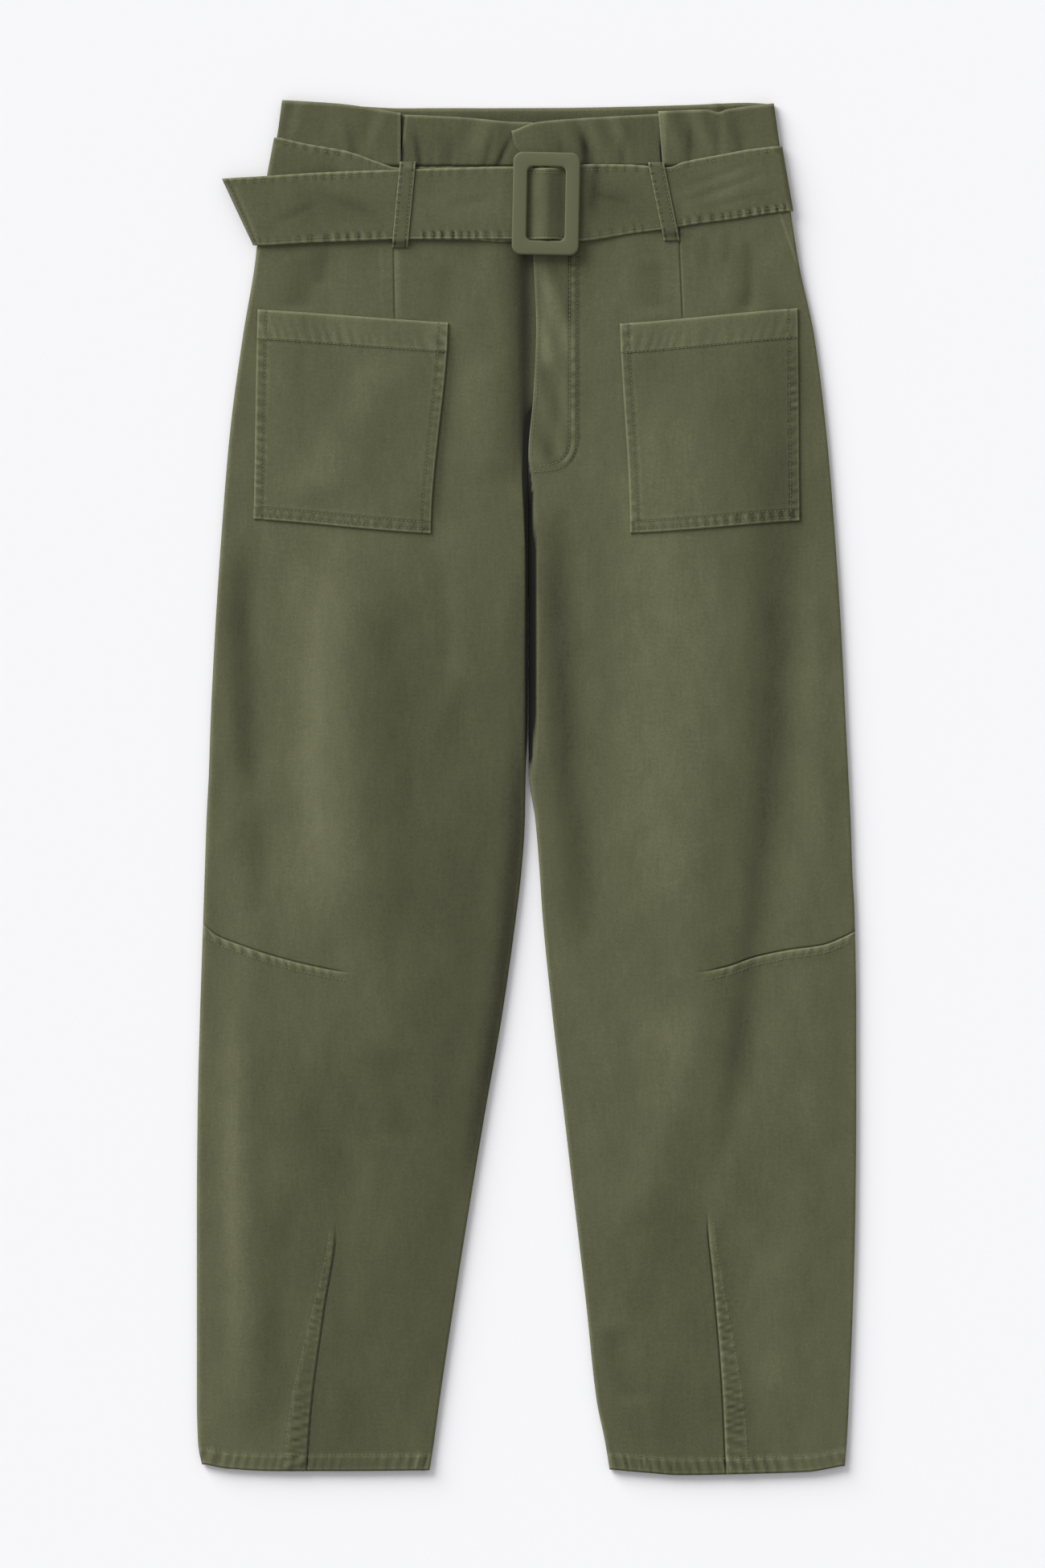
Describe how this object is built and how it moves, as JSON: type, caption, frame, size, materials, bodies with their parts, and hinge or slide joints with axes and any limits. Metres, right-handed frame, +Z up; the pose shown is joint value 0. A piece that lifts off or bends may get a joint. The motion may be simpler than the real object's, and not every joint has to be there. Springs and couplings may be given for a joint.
{
  "type": "barrel leg trousers",
  "caption": "Barrel leg trousers with a paper-bag waist, patch pockets and a buckled cloth belt, laid flat on their back",
  "frame": {"origin": "on the surface the trousers lie on, below the middle of their outline", "axes": "+X across the garment towards the wearer's left leg, +Y along it towards the waist, +Z up out of the front"},
  "size_m": [0.492, 1.0255, 0.0144],
  "materials": {
    "twill": "washed olive cotton twill, matt, paler along the stitched edges",
    "belt_twill": "the same twill, interlined and edge-stitched",
    "buckle": "olive, smooth and matt"
  },
  "bodies": {
    "root": {"front_right": "twill", "front_left": "twill", "back_right": "twill", "back_left": "twill", "pocket_right": "twill", "pocket_left": "twill", "waistband_front_right": "twill", "waistband_front_left": "twill", "waistband_back": "twill", "frill_front_right": "twill", "frill_front_left": "twill", "frill_back": "twill", "belt": "belt_twill", "belt_loop_right": "belt_twill", "belt_loop_left": "belt_twill", "belt_loop_back_right": "belt_twill", "belt_loop_back_left": "belt_twill", "buckle": "buckle"}
  },
  "joints": []
}
